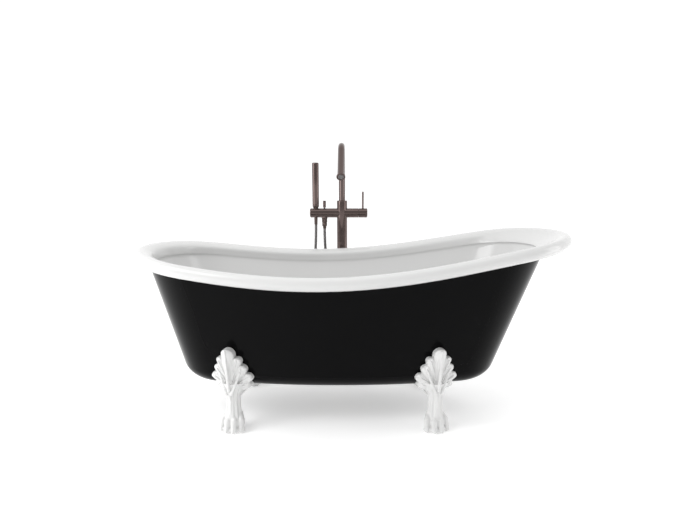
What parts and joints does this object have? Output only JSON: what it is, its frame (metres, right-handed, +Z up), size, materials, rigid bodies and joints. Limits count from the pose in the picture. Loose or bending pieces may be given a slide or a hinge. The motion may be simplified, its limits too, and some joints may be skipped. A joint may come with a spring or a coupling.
{
  "type": "clawfoot bathtub",
  "caption": "Freestanding roll-top bath with one raised end on claw feet, beside a floor-standing filler with swivelling spout, lever mixer, diverter, hand shower and hose.",
  "frame": {"origin": "on the floor, in the middle of the set's plan without the shower hose and its nuts", "axes": "+X along the bath towards its higher end, +Y towards the filler behind the bath, +Z up"},
  "size_m": [1.7, 0.875, 1.107],
  "materials": {
    "black_shell": "high gloss black",
    "white_basin": "high gloss white",
    "board": "plain board",
    "white_feet": "gloss white paint",
    "fasteners": "zinc plated",
    "rubber_pads": "matt",
    "bright_waste": "polished",
    "brass_nut": "machined",
    "dark_nickel": "polished dark nickel",
    "aerator_mesh": "fine mesh",
    "spray_rubber": "satin",
    "cartridge": "moulded",
    "hose_steel": "bright wound strip"
  },
  "bodies": {
    "bath_and_stand": {"outer_skin": "black_shell", "bath_basin": "white_basin", "base_board": "board", "foot_front_left": "white_feet", "foot_front_right": "white_feet", "foot_rear_left": "white_feet", "foot_rear_right": "white_feet", "foot_bolts": "fasteners", "foot_pads": "rubber_pads", "waste_flange": "bright_waste", "waste_seal": "rubber_pads", "waste_nut": "brass_nut", "riser_column": "dark_nickel", "mixer_body": "dark_nickel", "valve_cartridge": "cartridge", "hose_nut_outlet": "dark_nickel", "shower_hose": "hose_steel"},
    "plug": {"waste_plug": "bright_waste"},
    "spout_arm": {"spout": "dark_nickel", "aerator": "aerator_mesh"},
    "hand_set": {"hand_shower": "dark_nickel", "spray_face": "spray_rubber", "hose_nut_hand": "dark_nickel"},
    "diverter": {"diverter_knob": "dark_nickel"},
    "cap": {"lever_cap": "dark_nickel"},
    "lever": {"lever_pin": "dark_nickel"}
  },
  "joints": [
    {"name": "spout_swivel", "type": "hinge", "parent": "bath_and_stand", "child": "spout_arm", "pos_m": [-0.047, 0.3755, 0.82], "axis": [0, 0, 1], "range_deg": [-70, 70]},
    {"name": "hand_shower_lift", "type": "slide", "parent": "bath_and_stand", "child": "hand_set", "axis": [0, 0, 1], "range_m": [0, 0.06]},
    {"name": "diverter_pull", "type": "slide", "parent": "bath_and_stand", "child": "diverter", "axis": [0, 0, 1], "range_m": [0, 0.008]},
    {"name": "mixer_temperature", "type": "hinge", "parent": "bath_and_stand", "child": "cap", "pos_m": [0.0536, 0.3755, 0.781], "axis": [1, 0, 0], "range_deg": [-45, 45]},
    {"name": "mixer_flow", "type": "hinge", "parent": "cap", "child": "lever", "pos_m": [0.0536, 0.3755, 0.781], "axis": [0, 1, 0], "range_deg": [0, 15]},
    {"name": "waste_plug_rise", "type": "slide", "parent": "bath_and_stand", "child": "plug", "axis": [0, 0, 1], "range_m": [0, 0.009]}
  ]
}
